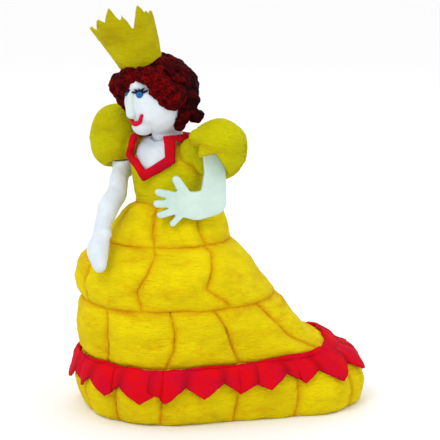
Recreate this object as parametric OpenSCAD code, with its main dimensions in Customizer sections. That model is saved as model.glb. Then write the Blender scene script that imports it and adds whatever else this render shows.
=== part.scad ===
// Craft stick puppet: a queen in a puffed foam gown with a long train.
// Millimetres. The origin is on the stick's axis, on the table. She faces -Y and her left is +X.

/* [Stick and guide] */
// Length of the craft stick
stick_l = 114; // [112:0.5:116]
// Width of the craft stick
stick_w = 10; // [9.6:0.1:10]
// Thickness of the craft stick
stick_t = 2; // [1.6:0.1:2.2]
// Height of the stick's lower end above the table
stick_z = 8; // [6:0.5:10]
// Inner radius of the card guide tube that the stick turns in
guide_r = 5.3; // [5.2:0.05:5.5]
// Wall of the card guide tube
guide_wall = 0.8; // [0.6:0.1:0.8]

/* [Gown] */
// Radius of the gown at the widest part of its drum
drum_r = 37; // [36:0.5:38]
// Distance from the stick's axis to the middle of the train's round end, on the table
train_l = 52; // [48:1:54]
// Radius of the train's round end on the table
train_r = 25.3; // [24:0.1:26]
// Direction of the train, turned from +X toward +Y
train_turn = 47; // [40:1:55]
// Thickness of the foam blocks
block_t = 8; // [7:0.5:8]
// Depth of the creases between the foam blocks
crease = 2.6; // [1.5:0.1:3]
// Gap between neighbouring blocks
seam_gap = 0.12; // [0.1:0.01:0.2]
// Thickness of the card former inside the gown
former_t = 1; // [0.8:0.1:1.2]
// Glue gap between the card former and the foam blocks
former_gap = 1.2; // [1:0.1:1.4]

/* [Trim] */
// Height of the trim's upper edge
trim_top = 24.5; // [24:0.5:25]
// Drop of the trim's points below its upper edge
trim_drop = 14; // [12:0.5:15]
// Thickness of the trim
trim_t = 1.2; // [1:0.1:1.5]

/* [Bodice] */
// Half width of the waist
waist_rx = 14.5; // [14:0.5:15]
// Half depth of the waist
waist_ry = 10.8; // [10.6:0.1:11]
// Height of the waist
waist_z = 82; // [81.5:0.5:82]
// Half width of the chest
chest_rx = 17.5; // [17:0.5:18]
// Half depth of the chest
chest_ry = 11.2; // [11:0.1:11.6]
// Radius of the collar's roll
collar_r = 2; // [1.8:0.1:2.1]
// Radius of the neck
neck_r = 6.3; // [6:0.1:6.4]

/* [Arms] */
// Thickness of the flat arm
flat_arm_t = 2.4; // [2:0.1:2.6]
// Radius of the shoulder pegs
peg_r = 1.5; // [1.3:0.1:1.6]
// Running clearance around a peg
peg_clear = 0.06; // [0.05:0.01:0.08]

/* [Head] */
// Half width of the head
head_rx = 13; // [12.5:0.5:13.5]
// Half depth of the head
head_ry = 14.5; // [14:0.5:15]
// Half height of the head
head_rz = 13; // [12.5:0.5:13.5]
// Radius of the crown at its lower edge
crown_base_r = 8.2; // [8:0.1:8.6]
// Radius of the crown at its points
crown_top_r = 12.8; // [12:0.2:13.2]
// Height along the crown's own axis at which it reaches that radius
crown_h = 21; // [20:0.5:22]
// Thickness of the crown's wall
crown_t = 1.2; // [1:0.1:1.4]
// Lean of the crown
crown_lean = 24; // [20:1:26]

/* [Hidden] */
$fn = 32;

gown_yellow = "gold";
trim_red = "crimson";
skin_white = "whitesmoke";
hair_brown = "#4a1010";
card_grey = "tan";

// The gown's plan at any height is the outline around two circles: the drum's and the train's.
// Each row is a height, the drum's radius, the drum's offset from the axis along the train, the
// distance from the drum's middle to the train's, and the train's radius.
gown_profile = [
    [0,  drum_r - 3,    0,    train_l,      train_r + 0.6],
    [4,  drum_r - 1.2,  0,    train_l + 1,  train_r + 1.2],
    [9,  drum_r - 0.5,  0,    train_l + 1,  train_r + 1],
    [16, drum_r,        0,    train_l,      train_r],
    [20, drum_r - 0.5,  0,    train_l - 2,  train_r - 1],
    [24, drum_r - 1.5,  0,    train_l - 7,  train_r - 1.5],
    [28, drum_r - 0.5,  0,    33,           train_r],
    [34, drum_r - 0.2,  0,    23,           27.5],
    [40, drum_r - 0.2,  0,    19,           30],
    [46, drum_r - 0.6,  0,    11,           33],
    [52, drum_r - 0.8,  -1,   3,            drum_r - 1.6],
    [57, drum_r - 1.6,  -1.8, 1,            drum_r - 2],
    [62, drum_r - 4.8,  -1.5, 1,            drum_r - 5.3],
    [66, drum_r - 9,    -1,   1.5,          drum_r - 9.8],
    [70, drum_r - 12.5, -0.5, 2.5,          drum_r - 13.5],
    [75, drum_r - 16.7, 0,    4,            drum_r - 17.7],
    [78, drum_r - 18.8, 0,    5,            drum_r - 20],
    [80, drum_r - 20,   0,    5,            drum_r - 21.2],
    [82, drum_r - 21.5, 0,    4,            drum_r - 22.5]
];
hem_z = [0, 23];
lower_z = [23, 45.5];
upper_z = [45.5, 68];
waist_puff_z = [68, waist_z];

// Seams of each row, as stations round the outline: 0 is the tip of the train, 1 and 2 are the
// ends of the straight side, 3 is the far side of the drum. Negative stations are the other side.
hem_seams = [-0.45, 0.51, 1.165, 1.647, 2.19, 2.5, 2.8, 3.3, 3.7, 4.25, 4.85, 5.55];
lower_seams = [-0.6, 0.65, 1.6, 2.19, 2.6, 3.02, 3.45, 3.9, 4.5, 5.4];
upper_seams = [-0.2, 0.95, 2.36, 2.8, 3.2, 3.65, 4.2, 5.8];
waist_seams = [-0.5, 0.9, 2.35, 2.9, 3.6, 5.5];
trim_seams = [-0.3, 1.52, 2.24, 3.1, 5.7];
trim_points = [5, 3, 4, 10];

guide_z = [58, 103.4];
neck_z = guide_z[1] + 0.3;
head_at = [0, -4.4, 123];
face_turn = -8;
eye_x = 4.4;
eye_y = head_at[1] - head_ry + 1.7;
eye_z = 127;
arm_turn = 56;
arm_plane = 20.3;
left_pivot = [arm_plane * sin(arm_turn) + 12.6 * cos(arm_turn),
    -arm_plane * cos(arm_turn) + 12.6 * sin(arm_turn), 106.5];
right_pivot = [-20.3, -5.2, 98];
crown_at = [-4.6, -8.4, 136.6];
crown_turn = 222;
crown_floor = 3;

// Tips and hollows of the crown's rim, as angles round its axis and heights
crown_rim = [
    [10, 22.2], [35, 19.8], [52, 23.9], [62, 21.4], [82, 26.4], [90, 19.8], [97, 22.2], [106, 14.6], [131, 23.1],
    [142, 18.8], [147, 19.8], [155, 17.7], [165, 19], [180, 14.9], [196, 18.4], [214, 12.9], [232, 17.4],
    [258, 10.4], [284, 15.4], [302, 12.9], [322, 19.4], [345, 15.9], [370, 22.2]
];
slice = 0.02;

// ---------- gown outline ----------
function profile_at(z, row = 0) =
    row == len(gown_profile) - 2 || z <= gown_profile[row + 1][0]
    ? let (a = gown_profile[row], b = gown_profile[row + 1], k = (z - a[0]) / (b[0] - a[0]))
        a + (b - a) * smooth(min(1, max(0, k)))
    : profile_at(z, row + 1);

function smooth(k) = k * k * (3 - 2 * k);

function wrap(q) = q > 3 ? q - 6 : q;

// Point of the outline at one height, station q, moved inward by inset
function outline_point(z, q, inset) =
    let (
        p = profile_at(z),
        side = wrap(q) < 0 ? -1 : 1,
        s = abs(wrap(q)),
        straight = acos((p[1] - p[4]) / p[3]),
        along = min(1, max(0, s - 1)),
        turn = s < 1 ? s * straight : s < 2 ? straight : straight + (s - 2) * (180 - straight),
        r = p[4] + (p[1] - p[4]) * along - inset,
        away = p[2] + p[3] * (1 - along),
        x = away + r * cos(turn),
        y = -side * r * sin(turn),
        c = cos(train_turn),
        d = sin(train_turn)
    ) [x * c - y * d, x * d + y * c, z];

function pillow(u, v) =
    sqrt(max(0, 1 - pow(abs(2 * u - 1), 3.5))) * sqrt(max(0, 1 - pow(abs(2 * v - 1), 3.5)));

// ---------- closed grids ----------
// A block between two grids of points, outer and inner, each rows x cols
module grid_block(outer, inner) {
    rows = len(outer);
    cols = len(outer[0]);
    n = rows * cols;
    function at(i, j) = i * cols + j;
    points = concat([for (row = outer) each row], [for (row = inner) each row]);
    faces = [
        for (i = [0 : rows - 2], j = [0 : cols - 2]) each [
            [at(i, j), at(i, j + 1), at(i + 1, j + 1)],
            [at(i, j), at(i + 1, j + 1), at(i + 1, j)],
            [n + at(i, j), n + at(i + 1, j + 1), n + at(i, j + 1)],
            [n + at(i, j), n + at(i + 1, j), n + at(i + 1, j + 1)]
        ],
        for (i = [0 : rows - 2]) each [
            [at(i, 0), at(i + 1, 0), n + at(i + 1, 0)],
            [at(i, 0), n + at(i + 1, 0), n + at(i, 0)],
            [at(i, cols - 1), n + at(i, cols - 1), n + at(i + 1, cols - 1)],
            [at(i, cols - 1), n + at(i + 1, cols - 1), at(i + 1, cols - 1)]
        ],
        for (j = [0 : cols - 2]) each [
            [at(0, j), n + at(0, j), n + at(0, j + 1)],
            [at(0, j), n + at(0, j + 1), at(0, j + 1)],
            [at(rows - 1, j), n + at(rows - 1, j + 1), n + at(rows - 1, j)],
            [at(rows - 1, j), at(rows - 1, j + 1), n + at(rows - 1, j + 1)]
        ]
    ];
    polyhedron(points, faces);
}

// One foam block between two seams and two heights
module foam_block(zs, seams, i, cols = 7, rows = 6) {
    dq = seam_gap / 40;
    q0 = seams[i] + dq;
    q1 = seams[i + 1] - dq;
    z0 = zs[0];
    z1 = zs[1] - seam_gap;
    us = [for (k = [0 : cols - 1]) spread(k / (cols - 1))];
    vs = [for (k = [0 : rows - 1]) spread(k / (rows - 1))];
    outer = [for (v = vs) [for (u = us)
        outline_point(z0 + (z1 - z0) * v, q0 + (q1 - q0) * u, crease * (1 - pillow(u, v)))]];
    inner = [for (v = vs) [for (u = us)
        outline_point(z0 + (z1 - z0) * v, q0 + (q1 - q0) * u, block_t)]];
    color(gown_yellow) grid_block(outer, inner);
}

// Closer steps near both edges, where a block rounds over
function spread(k) = (1 - cos(180 * k)) / 2;

// One strip of trim with a zigzag lower edge, just outside the hem blocks
module trim_strip(i) {
    points = trim_points[i];
    q0 = trim_seams[i] + 0.01;
    q1 = trim_seams[i + 1] - 0.01;
    steps = points * 4;
    heights = [for (k = [0 : steps]) trim_drop * (0.45 + 0.55 * abs(2 * (k / 4 - floor(k / 4)) - 1))];
    levels = [for (k = [0 : 3]) k / 3];
    outer = [for (v = levels) [for (k = [0 : steps])
        trim_point(trim_top - heights[k] * (1 - v), q0 + (q1 - q0) * k / steps, -trim_t)]];
    inner = [for (v = levels) [for (k = [0 : steps])
        trim_point(trim_top - heights[k] * (1 - v), q0 + (q1 - q0) * k / steps, 0)]];
    color(trim_red) grid_block(outer, inner);
}

function trim_point(z, q, inset) = outline_point(z, q, inset - 0.15);

// Thin card shell just inside the foam blocks
module skirt_former() {
    levels = [1.5, 9, 16, 24, 28, 34, 40, 46, 52, 57, 62, 66, 70, 75, waist_z - 2];
    stations = [for (q = [0 : 0.25 : 5.75]) q];
    cols = len(stations);
    rows = len(levels);
    n = cols * rows;
    points = concat(
        [for (z = levels, q = stations) outline_point(z, q, block_t + former_gap)],
        [for (z = levels, q = stations) outline_point(z, q, block_t + former_gap + former_t)]);
    function at(i, j) = i * cols + j % cols;
    faces = [
        for (i = [0 : rows - 2], j = [0 : cols - 1]) each [
            [at(i, j), at(i, j + 1), at(i + 1, j + 1)],
            [at(i, j), at(i + 1, j + 1), at(i + 1, j)],
            [n + at(i, j), n + at(i + 1, j + 1), n + at(i, j + 1)],
            [n + at(i, j), n + at(i + 1, j), n + at(i + 1, j + 1)]
        ],
        for (j = [0 : cols - 1]) each [
            [at(0, j), n + at(0, j), n + at(0, j + 1)],
            [at(0, j), n + at(0, j + 1), at(0, j + 1)],
            [at(rows - 1, j), n + at(rows - 1, j + 1), n + at(rows - 1, j)],
            [at(rows - 1, j), at(rows - 1, j + 1), n + at(rows - 1, j + 1)]
        ]
    ];
    color(card_grey) polyhedron(points, faces);
}

// ---------- stick and guide ----------
module stick_guide() {
    color(card_grey)
        translate([0, 0, guide_z[0]])
            difference() {
                cylinder(r = guide_r + guide_wall, h = guide_z[1] - guide_z[0]);
                translate([0, 0, -1])
                    cylinder(r = guide_r, h = guide_z[1] - guide_z[0] + 2);
            }
}

module craft_stick() {
    color("burlywood")
        translate([0, 0, stick_z])
            rotate([90, 0, 0])
                translate([0, 0, -stick_t / 2])
                    linear_extrude(stick_t)
                        stick_outline();
}

module stick_outline() {
    end_r = stick_w / 2;
    translate([0, end_r]) circle(r = end_r);
    translate([0, stick_l - end_r]) circle(r = end_r);
    translate([-end_r, end_r]) square([stick_w, stick_l - stick_w]);
}

// ---------- bodice ----------
module oval(z, rx, ry) {
    translate([0, 0, z])
        linear_extrude(slice)
            scale([rx, ry]) circle(r = 1, $fn = 40);
}

module torso() {
    hull() {
        oval(waist_z, waist_rx, waist_ry);
        oval(waist_z + 9, waist_rx + 1.5, waist_ry + 0.6);
        oval(98, chest_rx, chest_ry);
        oval(105, chest_rx - 0.5, chest_ry - 2.5);
        oval(108, chest_rx - 6, chest_ry - 4.5);
    }
}

module bodice() {
    color(gown_yellow)
        difference() {
            torso();
            neckline(0);
            translate([0, 0, waist_z - 1])
                cylinder(r = guide_r + guide_wall, h = guide_z[1] - waist_z + 1);
            translate([0, 0, guide_z[1]])
                cylinder(r = neck_r + 0.5, h = 10);
            left_peg_shape(0);
        }
}

// The V that the white chest fills, cut from the front
module neckline(gap) {
    rotate([90, 0, 0])
        linear_extrude(20)
            offset(delta = -gap)
                polygon([[0, 95], [9.6, 101.5], [9, 109], [-9, 109], [-9.6, 101.5]]);
}

module chest_inset() {
    color(skin_white)
        difference() {
            intersection() {
                torso();
                neckline(0.05);
            }
            translate([0, 0, waist_z])
                cylinder(r = guide_r + guide_wall + 0.05, h = guide_z[1] - waist_z);
            translate([0, 0, guide_z[1]])
                cylinder(r = neck_r + 0.5, h = 10);
        }
}

// Rolled collar: a V over the chest, standing proud of it, and a loop round the back of the neck
module collar() {
    half = [[0, -12.8, 94.6], [11, -9.6, 101.6], [9.2, -8.6, 109.4], [10.4, 0.6, 108.6], [6.6, 7.2, 107.8],
        [0, 8.9, 107.6]];
    color(trim_red)
        difference() {
            for (side = [-1, 1], k = [0 : len(half) - 2])
                roll([side * half[k][0], half[k][1], half[k][2]],
                    [side * half[k + 1][0], half[k + 1][1], half[k + 1][2]]);
            torso();
        }
}

module roll(a, b) {
    hull() {
        translate(a) sphere(r = collar_r, $fn = 14);
        translate(b) sphere(r = collar_r, $fn = 14);
    }
}

// ---------- sleeves ----------
module puff(at, radii) {
    hull()
        translate(at)
            scale(radii) sphere(r = 1, $fn = 30);
}

module left_peg_shape(grow) {
    translate(left_pivot)
        rotate([0, 90, arm_turn - 90])
            translate([0, 0, -15])
                cylinder(r = peg_r + grow, h = 15 + flat_arm_t / 2 + 0.3);
}

module left_sleeve() {
    color(gown_yellow)
        difference() {
            puff([22.9, 4.6, 105.2], [11.3, 11.9, 12.2]);
            torso();
            translate(left_pivot)
                rotate([0, 0, arm_turn - 90])
                    translate([-flat_arm_t / 2 - 0.5, -30, -40])
                        cube([flat_arm_t + 1.9, 60, 41.5]);
            translate(left_pivot)
                rotate([0, 90, arm_turn - 90])
                    translate([0, 0, -flat_arm_t / 2 - 0.5])
                        cylinder(r = 6, h = flat_arm_t + 1.9);
            left_arm_opening();
            left_peg_shape(0);
        }
}

// Arched opening in the front of the sleeve, from which the flat arm shows
module left_arm_opening() {
    corners = [[-0.2, -2.4, 1.4], [1.6, -11, 4.8], [1.6, -30, 4.8], [-14, -30, 5], [-14, -13, 5]];
    translate(left_pivot)
        rotate([0, 0, arm_turn])
            rotate([90, 0, 0])
                translate([0, 0, flat_arm_t / 2])
                    linear_extrude(30)
                        hull()
                            for (c = corners)
                                translate([c[0], c[1]]) circle(r = c[2]);
}

module right_sleeve() {
    color(gown_yellow)
        difference() {
            puff([-25, -2.8, 106.4], [10.5, 12.4, 13.4]);
            torso();
            translate([right_pivot[0], right_pivot[1], right_pivot[2] - 10])
                cylinder(r1 = 10.5, r2 = 4.8, h = 10.3);
            translate([right_pivot[0], right_pivot[1], right_pivot[2]])
                cylinder(r = peg_r, h = 8);
        }
}

// ---------- arms ----------
module left_arm_peg() {
    color("tan") {
        left_peg_shape(0);
        translate(left_pivot)
            rotate([0, 90, arm_turn - 90])
                translate([0, 0, flat_arm_t / 2 + 0.15])
                    cylinder(r = peg_r + 1.2, h = 0.8);
    }
}

module right_arm_peg() {
    color("tan")
        translate([right_pivot[0], right_pivot[1], right_pivot[2] - 5])
            cylinder(r = peg_r, h = 13);
}

// Flat cut-out arm, drawn in its own plane: x is along the arm's plane, y is up, from the pivot
module left_arm() {
    color(skin_white)
        translate(left_pivot)
            rotate([0, 0, arm_turn])
                rotate([90, 0, 0])
                    difference() {
                        translate([0, 0, -flat_arm_t / 2])
                            linear_extrude(flat_arm_t)
                                left_arm_outline();
                        translate([0, 0, -5])
                            cylinder(r = peg_r + peg_clear, h = 10);
                    }
}

module left_arm_outline() {
    limb([0, 0.5], 3.2, [1.6, -10], 4.2);
    limb([1.6, -10], 4.2, [0.8, -21.3], 5.2);
    limb([0.8, -21.3], 5.2, [-5.5, -22.5], 5.6);
    limb([-5.5, -22.5], 5.6, [-11.5, -21.5], 4.8);
    limb([-9.5, -19], 2.2, [-13.6, -12], 1.5);
    limb([-13, -18.6], 1.7, [-20.6, -16.5], 1.3);
    limb([-13.4, -21], 1.7, [-21.2, -21], 1.3);
    limb([-13, -23.4], 1.6, [-20, -25.4], 1.2);
    limb([-11.5, -25.2], 1.4, [-15.2, -29], 1.1);
}

module limb(a, ra, b, rb) {
    hull() {
        translate(a) circle(r = ra, $fn = 20);
        translate(b) circle(r = rb, $fn = 20);
    }
}

// Round arm, from its shoulder disc down over the front of the gown to a mitten hand
module right_arm() {
    joints = [right_pivot - [0, 0, 4], [-17.6, -9.6, 91], [-13, -15.4, 86.6], [-10.2, -22.6, 82.1],
        [-8.1, -27.5, 77.5], [-5.4, -31.8, 73], [-2, -37, 68.3], [1.8, -39.6, 63.1]];
    radii = [3.7, 3.8, 4.1, 4.2, 3.5, 3.3, 4.4, 2.6];
    color(skin_white)
        difference() {
            union() {
                translate([right_pivot[0], right_pivot[1], right_pivot[2] - 7])
                    cylinder(r = 3.8, h = 6.8);
                for (k = [0 : 5])
                    ball_limb(joints[k], radii[k], joints[k + 1], radii[k + 1]);
                ball_limb(joints[6], radii[6], joints[7], radii[7], 14);
                translate(joints[5] + [2.6, 0, 1])
                    sphere(r = 2.4);
            }
            translate([right_pivot[0], right_pivot[1], right_pivot[2] - 5.1])
                cylinder(r = peg_r + peg_clear, h = 10);
        }
}

module ball_limb(a, ra, b, rb, facets = 18) {
    hull() {
        translate(a) sphere(r = ra, $fn = facets);
        translate(b) sphere(r = rb, $fn = facets);
    }
}

// ---------- head ----------
module skull() {
    translate(head_at)
        scale([head_rx, head_ry, head_rz] / head_rz)
            sphere(r = head_rz, $fn = 36);
}

module head() {
    color(skin_white)
        difference() {
            union() {
                skull();
                translate([0, 0, neck_z])
                    cylinder(r = neck_r, h = head_at[2] - neck_z);
            }
            craft_stick();
            eyes();
            mouth();
        }
}

// The face looks a little to her right
module face_turned() {
    translate(head_at)
        rotate([0, 0, face_turn])
            translate(-head_at)
                children();
}

module nose() {
    color(skin_white)
        difference() {
            face_turned()
                ball_limb([0, head_at[1] - head_ry + 1.4, 125], 1.3,
                    [0, head_at[1] - head_ry - 0.3, 118.6], 2, 12);
            skull();
        }
}

// Round pins let into the face
module eyes() {
    color("steelblue")
        face_turned()
            for (side = [-1, 1])
                translate([side * eye_x, eye_y - 0.9, eye_z])
                    rotate([-90, 0, side * 18])
                        cylinder(r = 1.7, h = 3, $fn = 24);
}

// Five lashes fan out above each eye
module eyelashes() {
    color("midnightblue")
        face_turned()
            for (side = [-1, 1], turn = [-60 : 30 : 60])
                translate([side * eye_x, eye_y - 1.7, eye_z])
                    rotate([-14, turn, 0])
                        translate([0, 0, 1.9])
                            cylinder(r1 = 0.5, r2 = 0.2, h = 2.4, $fn = 16);
}

// Smile let into the face
module mouth() {
    bends = [for (k = [-2 : 2]) [k * 1.85, head_at[1] - head_ry + 2.6 + k * k * 0.1, 115.2 + k * k * 0.85]];
    color(trim_red)
        face_turned()
            for (k = [0 : 3])
                ball_limb(bends[k], 0.9, bends[k + 1], 0.9, 8);
}

// ---------- hair ----------
module hair_cap() {
    color(hair_brown)
        difference() {
            translate([-1.6, -3, 126.8])
                scale([1, 0.97, 0.89]) sphere(r = 16, $fn = 36);
            skull();
            face_window();
        }
}

// Clear space in front of the face and below the hair's lower edge
module face_window() {
    translate([-22, -40, 100]) cube([44, 31, 36]);
    translate([-22, -40, 100]) cube([44, 60, 15.5]);
}

// Room for the eyes and their lashes
module eye_spaces() {
    face_turned()
        for (side = [-1, 1])
            translate([side * eye_x, eye_y - 1.4, eye_z])
                sphere(r = 4.9);
}

module fringe_left() {
    color(hair_brown)
        difference() {
            fringe_left_solid();
            skull();
            hair_cap_solid();
            eye_spaces();
        }
}

module hair_cap_solid() {
    difference() {
        translate([-1.6, -3, 126.8])
            scale([1, 0.97, 0.89]) sphere(r = 16.05, $fn = 36);
        face_window();
    }
}

module fringe_right() {
    color(hair_brown)
        difference() {
            fringe_right_solid();
            skull();
            hair_cap_solid();
            fringe_left_solid();
            eye_spaces();
        }
}

module fringe_left_solid() {
    ball_limb([-11, -11.5, 127.5], 6, [-4, -15.5, 131.5], 5.5, 14);
    ball_limb([-11, -11.5, 127.5], 6, [-11.6, -8.2, 120.4], 3.4, 14);
}

module fringe_right_solid() {
    ball_limb([4, -14.5, 132.5], 5.2, [11, -9.5, 126], 5.6, 14);
}

// Side lock that ends above the collar, with a curl clear of the shoulder
module hair_lock() {
    color(hair_brown)
        difference() {
            union() {
                ball_limb([12.6, -4.2, 125], 4, [12.4, -4.4, 119], 3.4, 14);
                ball_limb([12.4, -4.4, 119], 3.4, [11, -4.6, 114.4], 2.4, 14);
                ball_limb([12.8, -2, 120.5], 2.8, [15, 2.4, 118.2], 2, 14);
            }
            skull();
            hair_cap_solid();
            fringe_right_solid();
        }
}

// ---------- crown ----------
module crown() {
    color("yellowgreen")
        difference() {
            translate(crown_at)
                rotate([0, 0, crown_turn])
                    rotate([0, crown_lean, 0])
                        crown_wall();
            hair_cap_solid();
            fringe_left_solid();
            skull();
        }
}

// Flared cup with a jagged rim; angles are around its own axis, from the way it leans
module crown_wall() {
    angles = [for (k = [0 : len(crown_rim) - 2]) each
        [crown_rim[k][0], (crown_rim[k][0] + crown_rim[k + 1][0]) / 2]];
    levels = [0, 0.35, 0.7, 1];
    cols = len(angles);
    rows = len(levels);
    n = rows * cols;
    points = concat(
        [for (v = levels, a = angles) crown_point(a, lookup(a, crown_rim) * v, 0)],
        [for (v = levels, a = angles) crown_point(a, crown_floor + (lookup(a, crown_rim) - crown_floor) * v, crown_t)]);
    function at(i, j) = i * cols + j % cols;
    faces = [
        [for (j = [0 : cols - 1]) at(0, j)],
        [for (j = [cols - 1 : -1 : 0]) n + at(0, j)],
        for (i = [0 : rows - 2], j = [0 : cols - 1]) each [
            [at(i, j), at(i + 1, j), at(i + 1, j + 1)],
            [at(i, j), at(i + 1, j + 1), at(i, j + 1)],
            [n + at(i, j), n + at(i + 1, j + 1), n + at(i + 1, j)],
            [n + at(i, j), n + at(i, j + 1), n + at(i + 1, j + 1)]
        ],
        for (j = [0 : cols - 1]) each [
            [at(rows - 1, j), n + at(rows - 1, j), n + at(rows - 1, j + 1)],
            [at(rows - 1, j), n + at(rows - 1, j + 1), at(rows - 1, j + 1)]
        ]
    ];
    polyhedron(points, faces);
}

function crown_point(a, z, inset) =
    let (r = crown_base_r + (crown_top_r - crown_base_r) * z / crown_h - inset)
        [r * cos(a), r * sin(a), z];

foam_block(hem_z, hem_seams, 0);  // hem_block_01
foam_block(hem_z, hem_seams, 1);  // hem_block_02
foam_block(hem_z, hem_seams, 2);  // hem_block_03
foam_block(hem_z, hem_seams, 3);  // hem_block_04
foam_block(hem_z, hem_seams, 4);  // hem_block_05
foam_block(hem_z, hem_seams, 5);  // hem_block_06
foam_block(hem_z, hem_seams, 6);  // hem_block_07
foam_block(hem_z, hem_seams, 7);  // hem_block_08
foam_block(hem_z, hem_seams, 8);  // hem_block_09
foam_block(hem_z, hem_seams, 9);  // hem_block_10
foam_block(hem_z, hem_seams, 10);  // hem_block_11
foam_block(lower_z, lower_seams, 0);  // lower_block_01
foam_block(lower_z, lower_seams, 1);  // lower_block_02
foam_block(lower_z, lower_seams, 2);  // lower_block_03
foam_block(lower_z, lower_seams, 3);  // lower_block_04
foam_block(lower_z, lower_seams, 4);  // lower_block_05
foam_block(lower_z, lower_seams, 5);  // lower_block_06
foam_block(lower_z, lower_seams, 6);  // lower_block_07
foam_block(lower_z, lower_seams, 7);  // lower_block_08
foam_block(lower_z, lower_seams, 8);  // lower_block_09
foam_block(upper_z, upper_seams, 0);  // upper_block_01
foam_block(upper_z, upper_seams, 1);  // upper_block_02
foam_block(upper_z, upper_seams, 2);  // upper_block_03
foam_block(upper_z, upper_seams, 3);  // upper_block_04
foam_block(upper_z, upper_seams, 4);  // upper_block_05
foam_block(upper_z, upper_seams, 5);  // upper_block_06
foam_block(upper_z, upper_seams, 6);  // upper_block_07
foam_block(waist_puff_z, waist_seams, 0);  // waist_puff_01
foam_block(waist_puff_z, waist_seams, 1);  // waist_puff_02
foam_block(waist_puff_z, waist_seams, 2);  // waist_puff_03
foam_block(waist_puff_z, waist_seams, 3);  // waist_puff_04
foam_block(waist_puff_z, waist_seams, 4);  // waist_puff_05
trim_strip(0);  // trim_strip_1
trim_strip(1);  // trim_strip_2
trim_strip(2);  // trim_strip_3
trim_strip(3);  // trim_strip_4
skirt_former();
stick_guide();
craft_stick();
bodice();
chest_inset();
collar();
left_sleeve();
right_sleeve();
left_arm_peg();
right_arm_peg();
left_arm();
right_arm();
head();
nose();
eyes();
eyelashes();
mouth();
hair_cap();
fringe_left();
fringe_right();
hair_lock();
crown();
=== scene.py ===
"""Looks of the craft stick puppet: a queen in a puffed foam gown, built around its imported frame."""
import math

import bmesh
import bpy
import numpy as np
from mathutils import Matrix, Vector
from mathutils.bvhtree import BVHTree


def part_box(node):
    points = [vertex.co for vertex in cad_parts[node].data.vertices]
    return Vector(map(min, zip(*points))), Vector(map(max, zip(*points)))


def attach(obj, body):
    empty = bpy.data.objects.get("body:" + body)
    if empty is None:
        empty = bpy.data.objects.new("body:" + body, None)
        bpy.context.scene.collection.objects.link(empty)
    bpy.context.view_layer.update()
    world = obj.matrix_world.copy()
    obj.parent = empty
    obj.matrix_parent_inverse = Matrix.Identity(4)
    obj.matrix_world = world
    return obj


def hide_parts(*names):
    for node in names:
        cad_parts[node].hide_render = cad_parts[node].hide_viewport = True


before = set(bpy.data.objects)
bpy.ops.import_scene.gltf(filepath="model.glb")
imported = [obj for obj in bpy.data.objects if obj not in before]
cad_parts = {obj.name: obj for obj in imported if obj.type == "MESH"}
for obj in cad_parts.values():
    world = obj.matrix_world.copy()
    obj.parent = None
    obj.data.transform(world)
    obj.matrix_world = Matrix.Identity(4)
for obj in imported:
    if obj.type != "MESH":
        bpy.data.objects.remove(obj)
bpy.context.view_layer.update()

MM = 0.001
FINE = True
FOAM_VOXEL = 0.6 * MM if FINE else 1.1 * MM
DETAIL_VOXEL = 0.4 * MM if FINE else 0.7 * MM


# ---------- camera, light and floor ----------
CAMERA_TURN = math.radians(42)
CAMERA_RISE = math.radians(11)
CAMERA_DISTANCE = 0.68
CAMERA_LENS = 140
AIM_SIDE = 0.0207
AIM_HEIGHT = 0.075


def add_camera():
    """Camera at the viewing angle: 42 degrees round to her left, 11 degrees up."""
    right = Vector((math.cos(CAMERA_TURN), math.sin(CAMERA_TURN), 0))
    back = Vector((math.sin(CAMERA_TURN) * math.cos(CAMERA_RISE),
                   -math.cos(CAMERA_TURN) * math.cos(CAMERA_RISE), math.sin(CAMERA_RISE)))
    aim = right * AIM_SIDE + Vector((0, 0, AIM_HEIGHT))
    data = bpy.data.cameras.new("camera")
    data.lens = CAMERA_LENS
    data.sensor_width = 36
    camera = bpy.data.objects.new("camera", data)
    camera.location = aim + back * CAMERA_DISTANCE
    camera.rotation_euler = back.to_track_quat("Z", "Y").to_euler()
    bpy.context.scene.collection.objects.link(camera)
    bpy.context.scene.camera = camera


def add_area_light(name, turn, rise, distance, size, power):
    """Soft square light that looks at the middle of the puppet."""
    data = bpy.data.lights.new(name, "AREA")
    data.size = size
    data.energy = power
    light = bpy.data.objects.new(name, data)
    turn, rise = math.radians(turn), math.radians(rise)
    away = Vector((math.sin(turn) * math.cos(rise), -math.cos(turn) * math.cos(rise), math.sin(rise)))
    light.location = Vector((0, 0, 0.07)) + away * distance
    light.rotation_euler = away.to_track_quat("Z", "Y").to_euler()
    bpy.context.scene.collection.objects.link(light)


def add_stage():
    """Plain pale floor, a pale world and three soft lights."""
    world = bpy.data.worlds.new("studio")
    bpy.context.scene.world = world
    world.use_nodes = True
    background = world.node_tree.nodes["Background"]
    background.inputs["Color"].default_value = (1, 1, 1, 1)
    background.inputs["Strength"].default_value = 1.04
    add_area_light("key_light", 15, 50, 0.9, 0.35, 2.2)
    add_area_light("fill_light", 100, 25, 1.0, 0.8, 0.3)
    add_area_light("back_light", 215, 40, 1.0, 0.6, 0.8)
    bpy.context.scene.view_settings.view_transform = "Standard"

    mesh = bpy.data.meshes.new("floor")
    half = 3.0
    mesh.from_pydata([(-half, -half, 0), (half, -half, 0), (half, half, 0), (-half, half, 0)], [],
                     [(0, 1, 2, 3)])
    floor = bpy.data.objects.new("floor", mesh)
    bpy.context.scene.collection.objects.link(floor)
    material = bpy.data.materials.new("floor_paper")
    material.use_nodes = True
    shader = material.node_tree.nodes["Principled BSDF"]
    shader.inputs["Base Color"].default_value = (0.93, 0.93, 0.93, 1)
    shader.inputs["Roughness"].default_value = 0.9
    mesh.materials.append(material)


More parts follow.
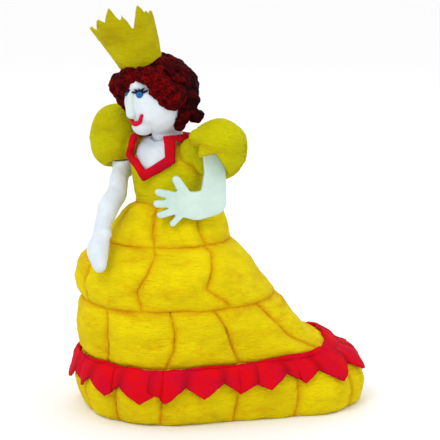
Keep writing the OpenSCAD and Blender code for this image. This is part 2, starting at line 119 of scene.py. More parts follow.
# ---------- noise and mesh tools ----------
def lattice_noise(points, size, seed=0):
    """Smooth noise from -1 to 1 at each point; size is the spacing of its features, one value or three."""
    p = points / np.asarray(size) + 13.7 * seed
    cell = np.floor(p).astype(np.int64)
    part = p - cell
    part = part * part * (3 - 2 * part)
    total = np.zeros(len(p))
    for corner in np.ndindex(2, 2, 2):
        at = cell + corner
        mixed = (at[:, 0] * 73856093) ^ (at[:, 1] * 19349663) ^ (at[:, 2] * 83492791)
        mixed = (mixed * 2654435761) & 0xFFFFFFFF
        mixed = ((mixed ^ (mixed >> 15)) * 2246822519) & 0xFFFFFFFF
        value = (mixed >> 8) / 8388607.5 - 1
        weight = np.prod(np.where(corner, part, 1 - part), axis=1)
        total += weight * value
    return total


def positions(obj):
    """The mesh's vertices as an array of rows."""
    co = np.empty(len(obj.data.vertices) * 3)
    obj.data.vertices.foreach_get("co", co)
    return co.reshape(-1, 3)


def normals(obj):
    """The mesh's vertex normals as an array of rows."""
    co = np.empty(len(obj.data.vertices) * 3)
    obj.data.vertices.foreach_get("normal", co)
    return co.reshape(-1, 3)


def set_positions(obj, co):
    """Moves the mesh's vertices to an array of rows."""
    obj.data.vertices.foreach_set("co", co.ravel())
    obj.data.update()


def set_attribute(obj, name, values):
    """One number for each vertex, for the material to read."""
    layer = obj.data.attributes.new(name, "FLOAT", "POINT")
    layer.data.foreach_set("value", np.asarray(values, dtype=np.float32))


def link(name, mesh):
    """A new object in the scene that shows a mesh."""
    obj = bpy.data.objects.new(name, mesh)
    bpy.context.scene.collection.objects.link(obj)
    return obj


def new_piece(name, verts, faces):
    """A new piece from lists of points and faces, smooth and facing outwards."""
    mesh = bpy.data.meshes.new(name)
    mesh.from_pydata([tuple(v) for v in verts], [], faces)
    mesh.validate()
    mesh.update()
    piece = link(name, mesh)
    face_outwards(piece)
    piece.data.shade_smooth()
    return piece


def face_outwards(obj):
    """Turns every face's normal outwards."""
    bm = bmesh.new()
    bm.from_mesh(obj.data)
    bmesh.ops.recalc_face_normals(bm, faces=bm.faces)
    bm.to_mesh(obj.data)
    bm.free()


def piece_from(bm, name):
    """A new piece from a bmesh, which is freed."""
    mesh = bpy.data.meshes.new(name)
    bm.to_mesh(mesh)
    bm.free()
    return link(name, mesh)


def apply_modifiers(obj):
    """Bakes the object's modifiers into its mesh."""
    graph = bpy.context.evaluated_depsgraph_get()
    graph.update()
    mesh = bpy.data.meshes.new_from_object(obj.evaluated_get(graph))
    obj.modifiers.clear()
    obj.data = mesh


def melt(obj, voxel, smooth_steps):
    """Joins everything in the mesh into one skin and rounds its edges."""
    remesh = obj.modifiers.new("skin", "REMESH")
    remesh.mode = "VOXEL"
    remesh.voxel_size = voxel
    smooth = obj.modifiers.new("round", "SMOOTH")
    smooth.factor = 0.5
    smooth.iterations = smooth_steps
    apply_modifiers(obj)
    obj.data.shade_smooth()


def subdivide(obj, levels):
    """Smooth subdivision, and outward normals."""
    modifier = obj.modifiers.new("subdivide", "SUBSURF")
    modifier.levels = levels
    apply_modifiers(obj)
    face_outwards(obj)
    obj.data.shade_smooth()


def copy_of(node, name):
    """A new piece with the shape of a CAD node."""
    return link(name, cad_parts[node].data.copy())


def copy_with_balls(node, name, parts):
    """A new piece with the shape of a CAD node and some ellipsoids beside it, not yet joined."""
    bm = ball_parts(parts)
    bm.from_mesh(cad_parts[node].data)
    return piece_from(bm, name)


def push_out(obj, amount):
    """Moves each vertex along its normal by amount, one value or one for each vertex."""
    amount = np.broadcast_to(np.asarray(amount, dtype=float), (len(obj.data.vertices),))
    set_positions(obj, positions(obj) + normals(obj) * amount[:, None])


def roughen(obj, lumps, seed=0):
    """Adds noise along the normals: lumps is a list of (feature size, height) in millimetres."""
    co = positions(obj)
    total = sum(lattice_noise(co, np.asarray(size) * MM, seed + i) * height * MM
                for i, (size, height) in enumerate(lumps))
    push_out(obj, total)


def finish_piece(obj, body, nodes, material):
    """Puts a finished piece on its body, in place of its CAD nodes."""
    obj.data.materials.clear()
    obj.data.materials.append(material)
    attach(obj, body)
    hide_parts(*nodes)
    return obj


def ball_parts(parts):
    """A bmesh of several ellipsoids; each part is (centre, radii) in millimetres."""
    bm = bmesh.new()
    for centre, radii in parts:
        made = bmesh.ops.create_icosphere(bm, subdivisions=4, radius=1)
        for v in made["verts"]:
            v.co = Vector([(c + r * x) * MM for c, r, x in zip(centre, radii, v.co)])
    return bm


def chain(points, radii, steps=8):
    """Balls along a line of points, close enough together to make one limb."""
    parts = []
    for (a, ra), (b, rb) in zip(zip(points, radii), zip(points[1:], radii[1:])):
        for k in range(steps):
            t = k / steps
            centre = [p + (q - p) * t for p, q in zip(a, b)]
            parts.append((centre, [ra + (rb - ra) * t] * 3))
    parts.append((points[-1], [radii[-1]] * 3))
    return parts


def blob(name, parts, voxel, smooth_steps):
    """One smooth skin around a list of ellipsoids."""
    obj = piece_from(ball_parts(parts), name)
    melt(obj, voxel, smooth_steps)
    return obj


# ---------- materials ----------
class Nodes:
    """Short names for making a material's nodes."""

    def __init__(self, name, roughness):
        """A new material with one Principled shader."""
        self.material = bpy.data.materials.new(name)
        self.material.use_nodes = True
        self.tree = self.material.node_tree
        self.shader = self.tree.nodes["Principled BSDF"]
        self.shader.inputs["Roughness"].default_value = roughness
        self.shader.inputs["Specular IOR Level"].default_value = 0.08
        self.place = self.tree.nodes.new("ShaderNodeTexCoord").outputs["Object"]

    def put(self, socket, value):
        """Links a socket, or sets a number or colour."""
        if isinstance(value, bpy.types.NodeSocket):
            self.tree.links.new(value, socket)
        elif isinstance(value, tuple) and len(value) == 3 and socket.type == "RGBA":
            socket.default_value = (*value, 1)
        else:
            socket.default_value = value

    def stretched(self, scale):
        """Object coordinates scaled by three numbers, in features per metre."""
        node = self.tree.nodes.new("ShaderNodeMapping")
        self.put(node.inputs["Vector"], self.place)
        node.inputs["Scale"].default_value = scale
        return node.outputs["Vector"]

    def noise(self, scale, detail=3.0, roughness=0.6, distortion=0.0):
        """Cloudy noise of a size given in features per metre."""
        node = self.tree.nodes.new("ShaderNodeTexNoise")
        self.put(node.inputs["Vector"], self.stretched(scale))
        node.inputs["Scale"].default_value = 1.0
        node.inputs["Detail"].default_value = detail
        node.inputs["Roughness"].default_value = roughness
        node.inputs["Distortion"].default_value = distortion
        return node.outputs["Fac"]

    def ramp(self, value, low, high, to_low=0.0, to_high=1.0):
        """Stretches one range of values on to another and clips it there."""
        node = self.tree.nodes.new("ShaderNodeMapRange")
        self.put(node.inputs["Value"], value)
        node.inputs["From Min"].default_value = low
        node.inputs["From Max"].default_value = high
        node.inputs["To Min"].default_value = to_low
        node.inputs["To Max"].default_value = to_high
        return node.outputs["Result"]

    def maths(self, operation, a, b):
        """One sum of two values."""
        node = self.tree.nodes.new("ShaderNodeMath")
        node.operation = operation
        self.put(node.inputs[0], a)
        self.put(node.inputs[1], b)
        return node.outputs["Value"]

    def mix(self, factor, a, b):
        """A blend of two colours."""
        node = self.tree.nodes.new("ShaderNodeMix")
        node.data_type = "RGBA"
        self.put(node.inputs["Factor"], factor)
        self.put(node.inputs["A"], a)
        self.put(node.inputs["B"], b)
        return node.outputs["Result"]

    def attribute(self, name):
        """A number stored at each vertex."""
        node = self.tree.nodes.new("ShaderNodeAttribute")
        node.attribute_name = name
        return node.outputs["Fac"]

    def colour(self, socket):
        """Sets the surface's colour."""
        self.put(self.shader.inputs["Base Color"], socket)

    def bump(self, height, distance, before=None):
        """Relief of some height in metres, on top of an earlier one."""
        node = self.tree.nodes.new("ShaderNodeBump")
        node.inputs["Strength"].default_value = 1.0
        node.inputs["Distance"].default_value = distance
        self.put(node.inputs["Height"], height)
        if before is not None:
            self.put(node.inputs["Normal"], before)
        self.put(self.shader.inputs["Normal"], node.outputs["Normal"])
        return node.outputs["Normal"]


# Features per metre along x, y and z: foam fibres lie level, so they are finest upwards
FIBRE = (260, 260, 1700)
FLUFF = (1500, 1500, 1900)
PATCH = (70, 70, 120)
# Size of the random blotches of painted shade
SHADE_BLOTCH = (55, 55, 150)


def foam_material(name, light, deep, crease):
    """Matt foam wadding: level fibres and cloudy patches, with painted shade along the seams and in random
    blotches of the crease colour.
    """
    n = Nodes(name, 0.9)
    patches = n.ramp(n.noise(PATCH, detail=3), 0.35, 0.68)
    body = n.mix(n.maths("MULTIPLY", patches, 0.75), light, deep)
    fibres = n.noise(FIBRE, detail=5, roughness=0.7, distortion=0.4)
    body = n.mix(n.ramp(fibres, 0.42, 0.68, 0.0, 0.35), body, deep)
    # Random blotches of painted shade in the crease colour
    shade_blotch = n.ramp(n.noise(SHADE_BLOTCH, detail=4), 0.56, 0.74, 0.0, 0.7)
    # Painted shade along the seams, broken up by noise
    seam = n.maths("MULTIPLY", n.attribute("crease"), n.ramp(n.noise((160, 160, 200)), 0.3, 0.7, 0.45, 1.0))
    body = n.mix(shade_blotch, body, crease)
    body = n.mix(seam, body, crease)
    n.colour(body)
    soft = n.bump(fibres, 0.7 * MM)
    n.bump(n.noise(FLUFF, detail=4, roughness=0.75), 0.4 * MM, soft)
    return n.material


def felt_material(name, light, deep, dark):
    """Felt with a short nap, darkened by painted shade in the trim's folds and by random mottle on the
    collar.
    """
    n = Nodes(name, 0.85)
    patches = n.ramp(n.noise((120, 120, 120), detail=3), 0.38, 0.64)
    body = n.mix(patches, light, deep)
    # Darker by painted fold shade on the trim and by random mottle on the collar
    body = n.mix(n.attribute("fold_shade_and_mottle"), body, dark)
    n.colour(body)
    nap = n.noise((1300, 1300, 1300), detail=5, roughness=0.7, distortion=0.6)
    n.bump(nap, 0.25 * MM)
    return n.material


def pale_material(name, light, deep, roughness, grain):
    """White foam or card with faint cloudy shading and a fine grain."""
    n = Nodes(name, roughness)
    clouds = n.ramp(n.noise((90, 90, 90), detail=4), 0.35, 0.7)
    n.colour(n.mix(clouds, light, deep))
    n.bump(n.noise(grain, detail=5, roughness=0.7), 0.14 * MM)
    return n.material


def hair_material():
    """Dark red curls: painted shade between the lumps and painted light on their tops, with small painted
    glints of brighter red.
    """
    n = Nodes("hair_curls", 0.8)
    n.shader.inputs["Specular IOR Level"].default_value = 0.03
    curls = n.noise((520, 520, 520), detail=5, roughness=0.75, distortion=1.2)
    # Painted shade in the hollows and painted light on the tops, from the same noise as the bump
    red = n.mix(n.ramp(curls, 0.42, 0.66), (0.016, 0.0005, 0.001), (0.26, 0.0015, 0.002))
    # Small painted glints of brighter red
    painted_glint = n.ramp(n.noise((1600, 1600, 1600), detail=2), 0.64, 0.74, 0.0, 0.55)
    red = n.mix(painted_glint, red, (0.42, 0.02, 0.02))
    # Darker where the shade attribute says: each piece's own darkness plus painted shade
    n.colour(n.mix(n.attribute("shade"), red, (0.012, 0.001, 0.002)))
    soft = n.bump(curls, 0.7 * MM)
    n.bump(n.noise((1500, 1500, 1500), detail=4, roughness=0.8), 0.4 * MM, soft)
    return n.material


def plain_material(name, light, deep, roughness, scale):
    """Painted or wooden surface with a soft change of tone."""
    n = Nodes(name, roughness)
    grain = n.noise(scale, detail=4)
    n.colour(n.mix(n.ramp(grain, 0.35, 0.7), light, deep))
    n.bump(grain, 0.05 * MM)
    return n.material


# Each material has a light and a deep tone, and foam and felt a third: painted shade for the foam's creases
# and the trim's folds, and a random dark mottle on the collar
FOAM = foam_material("gown_foam", (0.88, 0.71, 0.001), (0.68, 0.50, 0.001), (0.66, 0.27, 0.001))
BODICE_FOAM = foam_material("bodice_foam", (0.74, 0.68, 0.001), (0.58, 0.49, 0.001), (0.62, 0.27, 0.001))
# The sleeves take a darker copy of the bodice foam: painted shade for their hollow insides
SHADED_SLEEVE_FOAM = foam_material("sleeve_foam", (0.60, 0.57, 0.001), (0.47, 0.43, 0.001), (0.48, 0.27, 0.001))
CROWN_FOAM = foam_material("crown_foam", (0.56, 0.49, 0.001), (0.44, 0.35, 0.001), (0.34, 0.22, 0.001))
TRIM_FELT = felt_material("trim_felt", (0.64, 0.001, 0.006), (0.54, 0.001, 0.02), (0.24, 0.001, 0.008))
COLLAR_FELT = felt_material("collar_felt", (0.56, 0.001, 0.006), (0.44, 0.001, 0.016), (0.20, 0.001, 0.006))
WHITE_FOAM = pale_material("white_foam", (0.68, 0.74, 0.79), (0.55, 0.61, 0.66), 0.75, (700, 700, 1100))
NOSE_FOAM = pale_material("nose_foam", (0.62, 0.71, 0.68), (0.50, 0.60, 0.57), 0.75, (700, 700, 1100))
WHITE_CARD = pale_material("white_card", (0.58, 0.72, 0.67), (0.46, 0.61, 0.54), 0.7, (900, 900, 900))
HAIR = hair_material()
CARD = plain_material("brown_card", (0.52, 0.38, 0.22), (0.40, 0.28, 0.16), 0.8, (150, 150, 900))
WOOD = plain_material("birch_wood", (0.74, 0.56, 0.32), (0.60, 0.42, 0.22), 0.6, (900, 900, 40))
BLUE = plain_material("blue_paint", (0.02, 0.16, 0.34), (0.01, 0.08, 0.20), 0.4, (900, 900, 900))
LASH = plain_material("lash_thread", (0.008, 0.014, 0.05), (0.004, 0.008, 0.03), 0.6, (900, 900, 900))
LIP = plain_material("lip_paint", (0.62, 0.004, 0.03), (0.46, 0.003, 0.02), 0.45, (700, 700, 700))


# ---------- gown ----------
# Beside a seam the foam dips within its reach, and swells in its core to meet the next piece
SEAM_REACH = 5.5 * MM
SEAM_CORE = 2.4 * MM
SEAM_FILL = 1.0 * MM
SEAM_DIP = 0.9 * MM
BLOCK_SWELL = 0.55 * MM
# Extra puffs, each a centre and radii in millimetres, that lead a sleeve into the bodice
DRESS_FILLINGS = {
    "bodice": [],
    "left_sleeve": [((14.2, -1.4, 103.8), (5.6, 5.6, 5.8)), ((15, 2.5, 105.5), (5.5, 6, 6)),
                    ((21, -3.5, 110.5), (5, 4.2, 3.6))],
    "right_sleeve": [((-14.5, -1.5, 104.2), (4.5, 6, 5.2))],
}
BLOCK_NODES = [n for n in sorted(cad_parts) if n.split("_")[0] in ("hem", "lower", "upper", "waist")]


def puff_blocks():
    """Each foam block: the CAD block with rounded edges and soft lumps."""
    made = {}
    for node in BLOCK_NODES:
        piece = copy_of(node, node + "_foam")
        melt(piece, FOAM_VOXEL, 5 if FINE else 2)
        push_out(piece, BLOCK_SWELL)
        roughen(piece, [((9, 9, 6), 0.5), ((3.4, 3.4, 1.9), 0.24), ((1.6, 1.6, 0.8), 0.10)], seed=3)
        lift_to_table(piece)
        made[node] = piece
    return made


def lift_to_table(piece):
    """Nothing reaches below the table."""
    co = positions(piece)
    co[:, 2] = np.maximum(co[:, 2], 0.0)
    set_positions(piece, co)


def close_seams(pieces):
    """Closes the gaps between neighbouring pieces, dips the foam beside them, and marks the seams for
    painted shade.
    """
    trees = {}
    boxes = {}
    for name, piece in pieces.items():
        co = positions(piece)
        boxes[name] = (co.min(0) - SEAM_REACH, co.max(0) + SEAM_REACH)
        polygons = [p.vertices[:] for p in piece.data.polygons]
        trees[name] = BVHTree.FromPolygons([tuple(v) for v in co], polygons)
    for name, piece in pieces.items():
        co = positions(piece)
        nearest = np.full(len(co), SEAM_REACH)
        for other, tree in trees.items():
            low, high = boxes[other]
            if other == name:
                continue
            inside = np.nonzero(np.all((co > low) & (co < high), axis=1))[0]
            for index in inside:
                hit = tree.find_nearest(co[index], nearest[index])
                if hit[3] is not None:
                    nearest[index] = min(nearest[index], hit[3])
        beside = np.clip(1 - nearest / SEAM_REACH, 0, 1) ** 2
        core = np.clip(1 - nearest / SEAM_CORE, 0, 1)
        push_out(piece, SEAM_FILL * core - SEAM_DIP * beside)
        # Painted shade at the seam: strong in its core, fainter in the dip beside it
        set_attribute(piece, "crease", 0.3 * beside + 0.7 * core ** 1.6)


def build_gown():
    """Foam blocks, bodice and sleeves."""
    pieces = puff_blocks()
    for node, fillings in DRESS_FILLINGS.items():
        piece = copy_with_balls(node, node + "_foam", fillings)
        melt(piece, DETAIL_VOXEL, 12 if FINE else 4)
        roughen(piece, [((8, 8, 6), 0.4), ((2.6, 2.6, 1.5), 0.12), ((1.3, 1.3, 0.8), 0.06)], seed=8)
        pieces[node] = piece
    close_seams(pieces)
    for node, piece in pieces.items():
        lift_to_table(piece)
        material = FOAM if node in BLOCK_NODES else BODICE_FOAM if node == "bodice" else SHADED_SLEEVE_FOAM
        finish_piece(piece, "gown", [node], material)
    return pieces


# ---------- trim ----------
def gown_tree(pieces):
    """One search tree around the hem and lower blocks."""
    verts = []
    faces = []
    for node, piece in pieces.items():
        if node.startswith(("hem", "lower")):
            start = len(verts)
            verts += [tuple(v) for v in positions(piece)]
            faces += [[start + i for i in p.vertices] for p in piece.data.polygons]
    return BVHTree.FromPolygons(verts, faces)


# Sizes in millimetres, TRIM_BAND as a share of the drop, and STRIP_OVERLAP in radians
TRIM_TOP = 23.4
TRIM_TAIL_RISE = 4.4
TRIM_DROP = 11.8
TRIM_BAND = 0.57
TRIM_THICK = 1.2
TOOTH_WIDTH = 14.6
STRIP_OVERLAP = 0.03


def edge_hit(tree, centre, bearing, z):
    """Point of the foam that a level ray meets on its way in to the centre."""
    out = Vector((math.cos(bearing), math.sin(bearing), 0))
    hit = tree.ray_cast(Vector((centre[0], centre[1], z)) + out * 0.12, -out)[0]
    return hit, out


def even_bearings(tree, centre, start, end, count):
    """Bearings that divide the hem between two bearings into equal lengths, and the whole length."""
    fine = np.linspace(start, end, 200)
    points = np.array([tuple(edge_hit(tree, centre, b, 18 * MM)[0]) for b in fine])
    lengths = np.concatenate([[0], np.cumsum(np.linalg.norm(np.diff(points, axis=0), axis=1))])
    return np.interp(np.linspace(0, lengths[-1], count), lengths, fine), lengths[-1]


def trim_band(name, tree, centre, start, end, lift):
    """A felt band with a toothed lower edge that hugs the hem from one bearing to another."""
    per_tooth = 18 if FINE else 10
    rows = 12 if FINE else 7
    teeth = max(2, round(even_bearings(tree, centre, start, end, 2)[1] / (TOOTH_WIDTH * MM)))
    cols = teeth * per_tooth + 1
    bearings, _ = even_bearings(tree, centre, start, end, cols)
    outer = []
    fold_shade_and_mottle = []
    for j in range(rows + 1):
        t = j / rows
        for i, bearing in enumerate(bearings):
            phase = i / per_tooth
            in_tooth = phase - math.floor(phase)
            uneven = math.sin(7.3 * math.floor(phase) + 3.1 * start)
            point = 1 - abs(2 * in_tooth - 1)
            depth = TRIM_DROP * (TRIM_BAND + (1 - TRIM_BAND) * point) * (1 + 0.08 * uneven)
            rise = TRIM_TAIL_RISE * tail_share(centre, bearing)
            edge = TRIM_TOP + rise + 0.7 * math.sin(1.9 * phase + start)
            hit, out = edge_hit(tree, centre, bearing, (edge - depth * t) * MM)
            flare = lift + 0.5 * t * point + 0.35 * math.sin(2.6 * phase + 2 * start) * t
            outer.append(hit + out * flare * MM)
            # Painted shade in the valleys between the teeth, stronger towards the lower edge
            fold_shade_and_mottle.append(0.8 * max(0.0, 1 - 2.6 * point) * (0.25 + 0.75 * t))
    return band_shell(name, outer, fold_shade_and_mottle, rows + 1, cols, TRIM_THICK * MM)


def tail_share(centre, bearing):
    """How far towards the end of the train a bearing points, from 0 to 1."""
    train = math.atan2(centre[1], centre[0])
    return max(0.0, math.cos(bearing - train)) ** 4


def band_shell(name, outer, fold_shade_and_mottle, rows, cols, thick):
    """Closes a grid of points into a band with a thickness."""
    verts = list(outer)
    n = rows * cols
    grid = np.array([tuple(v) for v in outer]).reshape(rows, cols, 3)
    across = np.gradient(grid, axis=1)
    down = np.gradient(grid, axis=0)
    facing = np.cross(across, down)
    facing /= np.linalg.norm(facing, axis=2, keepdims=True) + 1e-12
    inward = grid - facing * thick
    verts += [Vector(p) for p in inward.reshape(-1, 3)]
    faces = []
    for j in range(rows - 1):
        for i in range(cols - 1):
            a, b, c, d = j * cols + i, j * cols + i + 1, (j + 1) * cols + i + 1, (j + 1) * cols + i
            faces.append((a, d, c, b))
            faces.append((n + a, n + b, n + c, n + d))
    for i in range(cols - 1):
        last = (rows - 1) * cols
        faces.append((i, i + 1, n + i + 1, n + i))
        faces.append((last + i + 1, last + i, n + last + i, n + last + i + 1))
    for j in range(rows - 1):
        a, b = j * cols, (j + 1) * cols
        faces.append((b, a, n + a, n + b))
        a, b = a + cols - 1, b + cols - 1
        faces.append((a, b, n + b, n + a))
    piece = new_piece(name, verts, faces)
    set_attribute(piece, "fold_shade_and_mottle", list(fold_shade_and_mottle) * 2)
    return piece


def bearings_of(node, centre):
    """First and last bearing of a CAD trim strip, seen from a point inside the hem."""
    co = positions(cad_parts[node])
    flat = co[:, :2] - np.array(centre[:2])
    mean = flat.mean(axis=0)
    middle = math.atan2(mean[1], mean[0])
    turn = np.arctan2(flat[:, 1], flat[:, 0]) - middle
    turn = (turn + math.pi) % (2 * math.pi) - math.pi
    return middle + turn.min(), middle + turn.max()


def build_trim(pieces):
    """Four overlapping strips of zigzag felt round the hem."""
    tree = gown_tree(pieces)
    low = Vector([min(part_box(n)[0][k] for n in BLOCK_NODES) for k in range(3)])
    high = Vector([max(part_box(n)[1][k] for n in BLOCK_NODES) for k in range(3)])
    centre = (low + high) / 2
    for i in range(4):
        node = f"trim_strip_{i + 1}"
        start, end = bearings_of(node, centre)
        start, end = start - STRIP_OVERLAP, end + STRIP_OVERLAP
        piece = trim_band(node + "_felt", tree, centre, start, end, 0.9 + 0.7 * (i % 2))
        finish_piece(piece, "gown", [node], TRIM_FELT)


# ---------- chest, collar and arms ----------
def build_chest():
    """The pale chest inside the collar."""
    piece = copy_of("chest_inset", "chest_skin")
    melt(piece, DETAIL_VOXEL, 5)
    roughen(piece, [((5, 5, 5), 0.15)], seed=4)
    finish_piece(piece, "gown", ["chest_inset"], WHITE_FOAM)


# Corners of one half in millimetres, from the point of the V to the nape
COLLAR_HALF = [(0, -13.2, 94.4), (11.2, -10, 101.4), (9.2, -8.8, 109.6), (10.6, 0.6, 108.8), (6.8, 7.2, 108),
               (0, 9, 107.8)]
CHEST_HALF_WIDTH = 17.5
CHEST_HALF_DEPTH = 11.2
COLLAR_HALF_WIDTH = 1.95 * MM
COLLAR_HALF_THICK = 1.35 * MM


def collar_loop():
    """Corners of the collar all the way round, and which way its face looks at each."""
    right = [Vector((-x, y, z)) for x, y, z in COLLAR_HALF[1:-1]]
    left = [Vector(p) for p in COLLAR_HALF]
    corners = [p * MM for p in left + right[::-1]]
    looks = []
    for p in corners:
        round_neck = min(1.0, max(0.0, (p.y / MM + 8) / 6))
        outward = Vector((p.x / CHEST_HALF_WIDTH ** 2, p.y / CHEST_HALF_DEPTH ** 2, 0)).normalized()
        looks.append((outward + Vector((0, 0, 0.15 + 0.9 * round_neck))).normalized())
    return corners, looks


def build_collar():
    """A flat felt strip with mitred corners, folded into a V."""
    corners, looks = collar_loop()
    count = len(corners)
    ring = 16
    steps = 10 if FINE else 5
    mitres = []
    for i in range(count):
        before = (corners[i] - corners[i - 1]).normalized()
        after = (corners[(i + 1) % count] - corners[i]).normalized()
        along = (before + after).normalized()
        side = looks[i].cross(along).normalized() / max(0.55, along.dot(after))
        mitres.append((side, looks[i]))
    verts = []
    for i in range(count):
        start, end = corners[i], corners[(i + 1) % count]
        for k in range(steps):
            t = k / steps
            side = mitres[i][0].lerp(mitres[(i + 1) % count][0], t)
            look = mitres[i][1].lerp(mitres[(i + 1) % count][1], t)
            middle = start.lerp(end, t)
            for j in range(ring):
                a = 2 * math.pi * j / ring
                wide = math.copysign(abs(math.cos(a)) ** 0.75, math.cos(a)) * COLLAR_HALF_WIDTH
                tall = math.copysign(abs(math.sin(a)) ** 0.85, math.sin(a)) * COLLAR_HALF_THICK
                verts.append(middle + side * wide + look * tall)
    rows = count * steps
    faces = []
    for r in range(rows):
        here, there = r * ring, (r + 1) % rows * ring
        for j in range(ring):
            k = (j + 1) % ring
            faces.append((here + j, here + k, there + k, there + j))
    piece = new_piece("collar_strip", verts, faces)
    subdivide(piece, 1)
    roughen(piece, [((3.5, 3.5, 3.5), 0.2), ((1.4, 1.4, 1.4), 0.09)], seed=5)
    # Random dark mottle on the collar felt
    fold_shade_and_mottle = np.clip(0.5 * lattice_noise(positions(piece), 4 * MM, 9), 0, 1)
    set_attribute(piece, "fold_shade_and_mottle", fold_shade_and_mottle)
    finish_piece(piece, "gown", ["collar"], COLLAR_FELT)


def build_arms():
    """The round foam arm on her right and the flat card arm on her left."""
    right = copy_of("right_arm", "right_arm_skin")
    melt(right, DETAIL_VOXEL, 10 if FINE else 4)
    roughen(right, [((6, 6, 6), 0.3), ((2.2, 2.2, 2.2), 0.1)], seed=6)
    finish_piece(right, "right_arm", ["right_arm"], WHITE_FOAM)
    left = copy_of("left_arm", "left_arm_card")
    melt(left, 0.35 * MM if FINE else 0.6 * MM, 3)
    roughen(left, [((6, 6, 6), 0.12)], seed=7)
    finish_piece(left, "left_arm", ["left_arm"], WHITE_CARD)


# ---------- head ----------
FACE_TURN = math.radians(-8)
HEAD_CENTRE = Vector((0, -4.4, 123))


def face_direction(degrees):
    """Level direction out of the face, turned to her left by some degrees."""
    bearing = math.radians(-90 + degrees) + FACE_TURN
    return Vector((math.cos(bearing), math.sin(bearing), 0))


def in_face(degrees, out, z):
    """Point in millimetres at a bearing and distance from the head's upright axis."""
    p = HEAD_CENTRE + face_direction(degrees) * out
    return p.x, p.y, z


def build_head():
    """Skull with soft cheeks, a brow and a chin, on a short neck, and a long narrow nose."""
    c = HEAD_CENTRE
    parts = [(tuple(c), (12.9, 14.3, 12.9)),
             (in_face(26, 8.6, 119.4), (5, 5, 4.8)), (in_face(-26, 8.2, 119.4), (4.6, 4.6, 4.6)),
             (in_face(2, 8.2, 114.2), (4.6, 4.6, 4)), (in_face(0, 8.8, 130.5), (6, 6, 4))]
    parts += [((0, 0, z), (6.2, 6.2, 3.2)) for z in (106.9, 109.5, 112.5)]
    head = blob("head_skin", parts, DETAIL_VOXEL, 14 if FINE else 5)
    roughen(head, [((5, 5, 5), 0.12), ((2, 2, 2), 0.04)], seed=2)
    finish_piece(head, "head", ["head"], WHITE_FOAM)

    bridge = ((12.4, 128.2), (13.4, 126), (13.7, 123.4), (13.8, 121), (13.6, 119.2))
    line = [in_face(0, out, z) for out, z in bridge]
    nose = blob("nose_skin", chain(line, [1.2, 1.7, 2.0, 2.2, 2.2]), 0.3 * MM, 7)
    finish_piece(nose, "head", ["nose"], NOSE_FOAM)
    return head


def on_skin(tree, degrees, z, lift):
    """Point on the face at a bearing and height, lifted off the skin, in metres, and its normal."""
    out = face_direction(degrees)
    start = Vector((HEAD_CENTRE.x, HEAD_CENTRE.y, z)) * MM + out * 60 * MM
    hit, normal = tree.ray_cast(start, -out)[:2]
    return hit + normal * lift * MM, normal


def tree_of(obj):
    """Search tree of a piece's surface."""
    points = [tuple(v) for v in positions(obj)]
    return BVHTree.FromPolygons(points, [p.vertices[:] for p in obj.data.polygons])


def tube(points, radii, sides=12):
    """A tube along a list of points, with a radius in millimetres at each, closed at both ends."""
    verts = []
    faces = []
    count = len(points)
    for i, (p, r) in enumerate(zip(points, radii)):
        along = (points[min(i + 1, count - 1)] - points[max(i - 1, 0)]).normalized()
        side = along.cross(Vector((0.1, 1, 0.05))).normalized()
        up = along.cross(side).normalized()
        for k in range(sides):
            a = 2 * math.pi * k / sides
            verts.append(p + (side * math.cos(a) + up * math.sin(a)) * r * MM)
    for i in range(count - 1):
        for k in range(sides):
            a, b = i * sides + k, i * sides + (k + 1) % sides
            faces.append((a, b, b + sides, a + sides))
    faces.append(tuple(range(sides))[::-1])
    faces.append(tuple(range((count - 1) * sides, count * sides)))
    return verts, faces


def dome(centre, normal, radius, height, rings=6, sides=24):
    """A low button with a rounded top and its foot sunk in the skin."""
    side = normal.cross(Vector((0, 0, 1))).normalized()
    up = side.cross(normal).normalized()
    verts = []
    faces = []
    levels = [(1.0, -0.6)] + [(math.cos(k * math.pi / 2 / rings), height * math.sin(k * math.pi / 2 / rings))
                              for k in range(rings)]
    for wide, tall in levels:
        for k in range(sides):
            a = 2 * math.pi * k / sides
            across = (side * math.cos(a) + up * math.sin(a)) * radius * wide
            verts.append(centre + across * MM + normal * tall * MM)
    for i in range(len(levels) - 1):
        for k in range(sides):
            a, b = i * sides + k, i * sides + (k + 1) % sides
            faces.append((a, b, b + sides, a + sides))
    faces.append(tuple(range(sides))[::-1])
    faces.append(tuple(range(len(verts) - sides, len(verts))))
    return verts, faces


def join_parts(name, parts):
    """One piece from several lists of points and faces."""
    verts = []
    faces = []
    for part_verts, part_faces in parts:
        start = len(verts)
        verts += part_verts
        faces += [tuple(start + i for i in f) for f in part_faces]
    return new_piece(name, verts, faces)


EYE_BEARING = 18
EYE_Z = 127
DEGREES_PER_MM = 4.2
# Each lash is its turn in degrees from upright, and its length in millimetres from the eye's middle
LASHES = [(-78, 3.6), (-38, 3.0), (-6, 2.7), (30, 3.1), (68, 4.0)]


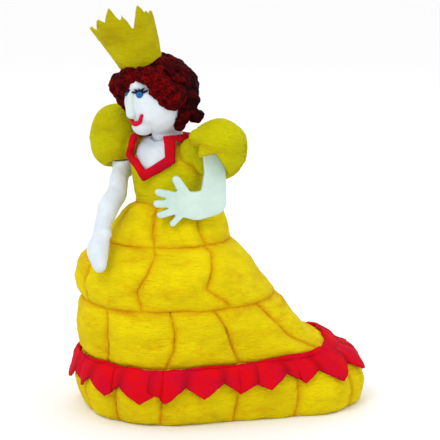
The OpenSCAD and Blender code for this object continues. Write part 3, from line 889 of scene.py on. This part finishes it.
def build_face(head):
    """Blue eyes with fans of dark lashes, and a deep smile that ends in round tips."""
    tree = tree_of(head)
    eye_parts = []
    lash_parts = []
    for side in (-1, 1):
        middle, normal = on_skin(tree, side * EYE_BEARING, EYE_Z, 0)
        eye_parts.append(dome(middle, normal, 1.65, 0.75))
        for turn, length in LASHES:
            a = math.radians(turn)
            points = []
            for share in (0.32, 0.6, 0.85, 1.0):
                x, z = length * share * math.sin(a), length * share * math.cos(a) * 0.9
                bearing = side * EYE_BEARING + x * DEGREES_PER_MM
                points.append(on_skin(tree, bearing, EYE_Z + z, 0.25 + 0.5 * share)[0])
            lash_parts.append(tube(points, [0.42, 0.46, 0.34, 0.1], sides=8))
    finish_piece(join_parts("eyes_paint", eye_parts), "head", ["eyes"], BLUE)
    finish_piece(join_parts("eyelashes_thread", lash_parts), "head", ["eyelashes"], LASH)

    line = []
    radii = []
    steps = 24
    for k in range(-1, steps + 2):
        u = min(1, max(-1, 2 * k / steps - 1))
        point, _ = on_skin(tree, (0.9 + 4.4 * u) * DEGREES_PER_MM, 115.1 + 3.9 * abs(u) ** 2.1, 0.15)
        line.append(point)
        radii.append(0.35 if k in (-1, steps + 1) else 0.7 + 0.25 * (1 - u * u))
    line[0] += Vector((0, 0, 0.35)) * MM
    line[-1] += Vector((0, 0, 0.35)) * MM
    finish_piece(join_parts("mouth_paint", [tube(line, radii)]), "head", ["mouth"], LIP)


# ---------- hair and crown ----------
def curl_up(piece, seed, darkness):
    """Woolly curls on a hair piece, with painted shade in its hollows and towards the back of the head."""
    co = positions(piece)
    curls = lattice_noise(co, 2.6 * MM, seed) + 0.7 * lattice_noise(co, 1.3 * MM, seed + 1)
    push_out(piece, 0.6 * MM * curls)
    # Painted shade towards the back of the head and in the curls' hollows, over each piece's own darkness
    back = np.clip((co[:, 0] * 0.75 + co[:, 1] * 0.65) / (14 * MM), 0, 1)
    set_attribute(piece, "shade", np.clip(darkness + 0.6 * back - 0.45 * curls, 0, 1))


# Extra curls on some hair pieces, each a centre and radii in millimetres
HAIR_FILLINGS = {
    "hair_cap": [((-1.5, -9.5, 133.6), (9.5, 7.8, 4.2))],
    "fringe_left": [((-12.3, -12.5, 128.5), (5.4, 5.4, 5.6)), ((-6.5, -16.6, 130.6), (4.6, 3.6, 4.2))],
    "fringe_right": [((2.8, -15.6, 134), (4.4, 3.8, 3.6)), ((12.6, -9.4, 126.4), (4.6, 4.4, 5.2))],
    "hair_lock": chain([(13.2, -1, 124), (13.4, -1.2, 120), (14.2, 1, 117.6)], [3.8, 3.1, 2.5], 4),
}
# How dark each hair piece is, from 0 to 1
HAIR_PIECES = {"hair_cap": 0.35, "fringe_left": 0.1, "fringe_right": 0.05, "hair_lock": 0.35}


def build_hair():
    """Cap, fringes and side lock, covered in curls."""
    for seed, (node, darkness) in enumerate(HAIR_PIECES.items()):
        piece = copy_with_balls(node, node + "_curls", HAIR_FILLINGS.get(node, []))
        melt(piece, DETAIL_VOXEL, 6)
        curl_up(piece, 20 + 3 * seed, darkness)
        finish_piece(piece, "head", [node], HAIR)


def build_crown():
    """The crown in rough foam; it has no neighbours, so it has no painted crease shade."""
    piece = copy_of("crown", "crown_foam_cone")
    melt(piece, 0.4 * MM, 3)
    roughen(piece, [((5, 5, 5), 0.25), ((1.6, 1.6, 1.6), 0.1)], seed=12)
    set_attribute(piece, "crease", np.zeros(len(piece.data.vertices)))
    finish_piece(piece, "head", ["crown"], CROWN_FOAM)


def dress_hidden_parts():
    """Card and wood on the CAD parts inside the gown."""
    for node, material in (("skirt_former", CARD), ("stick_guide", CARD), ("craft_stick", WOOD),
                           ("left_arm_peg", WOOD), ("right_arm_peg", WOOD)):
        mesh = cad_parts[node].data
        mesh.materials.clear()
        mesh.materials.append(material)


add_camera()
add_stage()
gown = build_gown()
build_trim(gown)
build_chest()
build_collar()
build_arms()
build_face(build_head())
build_hair()
build_crown()
dress_hidden_parts()
